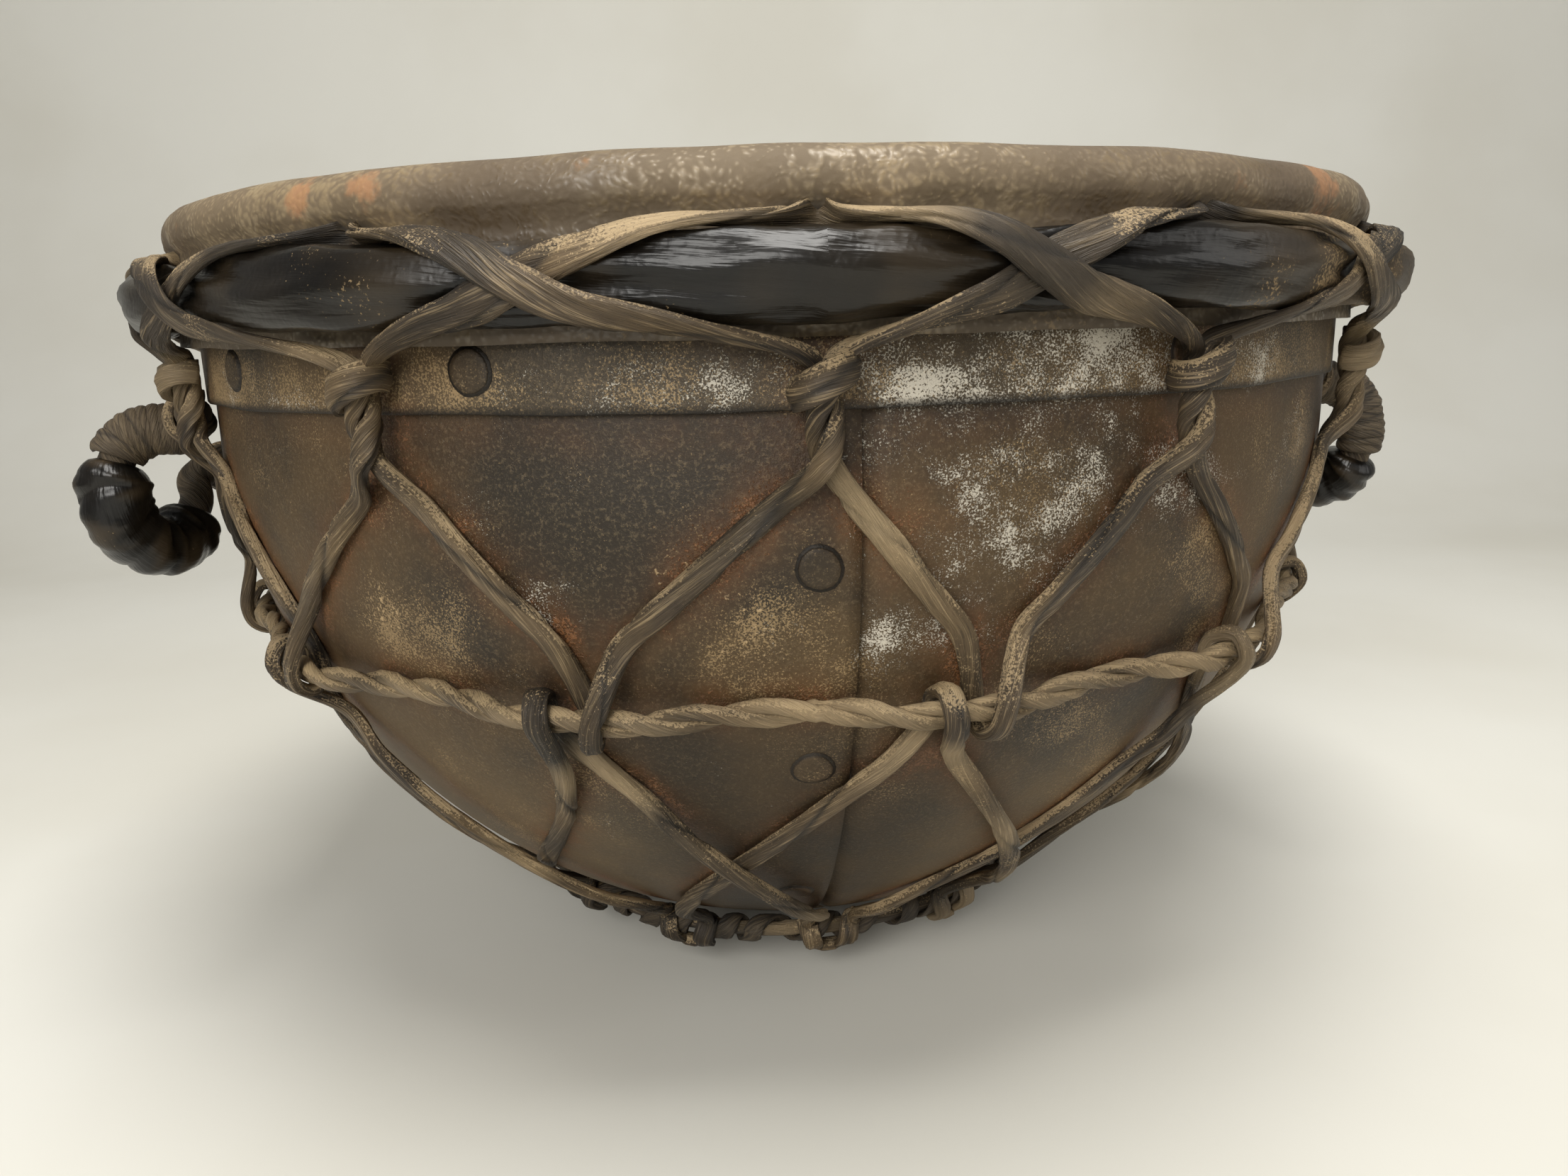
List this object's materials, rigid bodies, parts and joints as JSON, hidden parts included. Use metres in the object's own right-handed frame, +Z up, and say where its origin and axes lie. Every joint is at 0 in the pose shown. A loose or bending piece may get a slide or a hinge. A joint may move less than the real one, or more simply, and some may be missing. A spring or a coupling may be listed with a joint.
{
  "type": "kettle drum",
  "caption": "Riveted sheet-iron kettle drum with a hide head, a rolled hide edge, knotted hide lacing drawn down to a bound base ring, and a wrapped carrying loop on each side.",
  "frame": {"origin": "centre of the bottom dish's flat, where the drum rests", "axes": "+Z up along the bowl's axis, -Y towards the viewer, +X to the viewer's right"},
  "size_m": [0.3799, 0.3635, 0.2207],
  "materials": {
    "iron": "worn sheet iron, dusty, rust along edges",
    "rivet_iron": "hammered flat, dark outline",
    "head_hide": "pebbled raw hide, worn at the shoulder",
    "black_hide": "dark, folded, polished by handling",
    "lace_hide": "dry twisted thong with worn edges",
    "cord_fibre": "coarse wound fibre cord"
  },
  "bodies": {
    "drum": {"gore_plate_1": "iron", "gore_plate_2": "iron", "gore_plate_3": "iron", "bottom_dish": "iron", "collar_band": "iron", "rim_hoop": "iron", "collar_rivet_1": "rivet_iron", "collar_rivet_2": "rivet_iron", "collar_rivet_3": "rivet_iron", "collar_rivet_4": "rivet_iron", "collar_rivet_5": "rivet_iron", "collar_rivet_6": "rivet_iron", "collar_rivet_7": "rivet_iron", "collar_rivet_8": "rivet_iron", "collar_rivet_9": "rivet_iron", "seam_1_rivet_1": "rivet_iron", "seam_1_rivet_2": "rivet_iron", "seam_1_rivet_3": "rivet_iron", "seam_2_rivet_1": "rivet_iron", "seam_2_rivet_2": "rivet_iron", "seam_2_rivet_3": "rivet_iron", "seam_3_rivet_1": "rivet_iron", "seam_3_rivet_2": "rivet_iron", "seam_3_rivet_3": "rivet_iron", "dish_rivet_1": "rivet_iron", "dish_rivet_2": "rivet_iron", "dish_rivet_3": "rivet_iron", "dish_rivet_4": "rivet_iron", "dish_rivet_5": "rivet_iron", "dish_rivet_6": "rivet_iron", "drum_head": "head_hide", "rolled_edge": "black_hide", "belt_cord": "lace_hide", "upper_lace": "lace_hide", "lower_lace_1": "lace_hide", "lower_lace_2": "lace_hide", "base_ring_core": "lace_hide", "left_loop_front_tie": "lace_hide", "left_loop_rear_tie": "lace_hide", "right_loop_front_tie": "lace_hide", "right_loop_rear_tie": "lace_hide", "base_ring_binding": "cord_fibre"},
    "left_loop": {"left_loop_core": "cord_fibre", "left_loop_binding": "cord_fibre", "left_loop_sleeve": "black_hide"},
    "right_loop": {"right_loop_core": "cord_fibre", "right_loop_binding": "cord_fibre", "right_loop_sleeve": "black_hide"}
  },
  "joints": [
    {"name": "left_loop_swing", "type": "hinge", "parent": "drum", "child": "left_loop", "pos_m": [-0.15757, -0.05407, 0.161], "axis": [-0.305, 0.8888, -0.342], "range_deg": [-11, 45]},
    {"name": "right_loop_swing", "type": "hinge", "parent": "drum", "child": "right_loop", "pos_m": [0.16645, 0.00674, 0.161], "axis": [0.038, -0.9389, 0.342], "range_deg": [-15, 45]}
  ]
}
